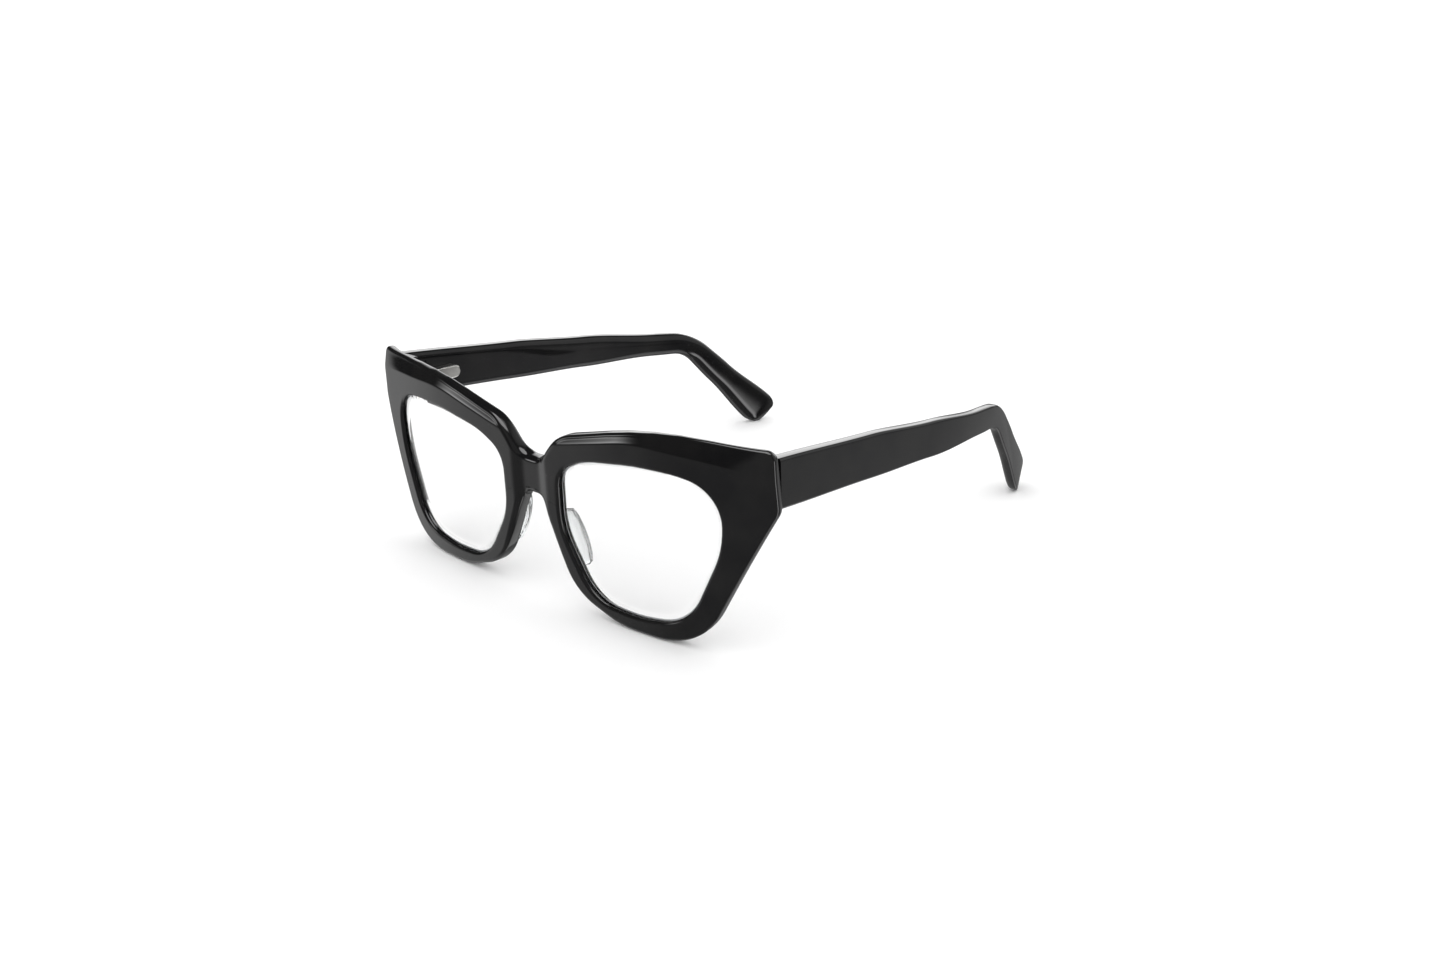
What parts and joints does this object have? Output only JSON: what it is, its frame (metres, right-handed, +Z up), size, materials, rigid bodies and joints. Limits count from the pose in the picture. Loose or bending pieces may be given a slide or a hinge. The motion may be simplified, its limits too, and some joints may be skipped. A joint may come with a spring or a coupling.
{
  "type": "eyeglasses",
  "caption": "Chunky cat-eye acetate eyeglasses with clear lenses, clear nose pads and sprung barrel hinges, shown open.",
  "frame": {"origin": "centre of the footprint, on the surface that the rims and the temple tips rest on", "axes": "+Z up, -Y out of the front of the lenses, temples towards +Y, +X to the side called right"},
  "size_m": [0.1404, 0.1367, 0.0496],
  "materials": {
    "black_acetate": "polished black cellulose acetate",
    "clear_lens": "clear demo lens, polished",
    "clear_pad": "clear polished acetate pad",
    "hinge_steel": "nickel silver, lightly polished",
    "wire_steel": "stainless steel wire and screw stock"
  },
  "bodies": {
    "front": {"front_frame": "black_acetate", "right_lens": "clear_lens", "left_lens": "clear_lens", "right_nose_pad": "clear_pad", "left_nose_pad": "clear_pad", "right_front_hinge": "hinge_steel", "left_front_hinge": "hinge_steel", "right_hinge_screw": "wire_steel", "left_hinge_screw": "wire_steel"},
    "right_slider": {"right_hinge_slider": "hinge_steel", "right_spring_stop": "wire_steel", "right_hinge_spring": "wire_steel"},
    "right_temple": {"right_temple": "black_acetate", "right_hinge_case": "hinge_steel", "right_temple_core": "wire_steel"},
    "left_slider": {"left_hinge_slider": "hinge_steel", "left_spring_stop": "wire_steel", "left_hinge_spring": "wire_steel"},
    "left_temple": {"left_temple": "black_acetate", "left_hinge_case": "hinge_steel", "left_temple_core": "wire_steel"}
  },
  "joints": [
    {"name": "right_fold", "type": "hinge", "parent": "front", "child": "right_slider", "pos_m": [0.0627, -0.05215, 0.0395], "axis": [0, 0, 1], "range_deg": [0, 79]},
    {"name": "right_spring_slide", "type": "slide", "parent": "right_slider", "child": "right_temple", "axis": [-0.0663, 0.9978, 0], "range_m": [0, 0.0012], "stiffness_N_per_m": 2500, "springref_m": -0.0012, "deforming": ["right_hinge_spring"]},
    {"name": "left_fold", "type": "hinge", "parent": "front", "child": "left_slider", "pos_m": [-0.0627, -0.05215, 0.0395], "axis": [0, 0, -1], "range_deg": [0, 86]},
    {"name": "left_spring_slide", "type": "slide", "parent": "left_slider", "child": "left_temple", "axis": [0.0663, 0.9978, 0], "range_m": [0, 0.0012], "stiffness_N_per_m": 2500, "springref_m": -0.0012, "deforming": ["left_hinge_spring"]}
  ]
}
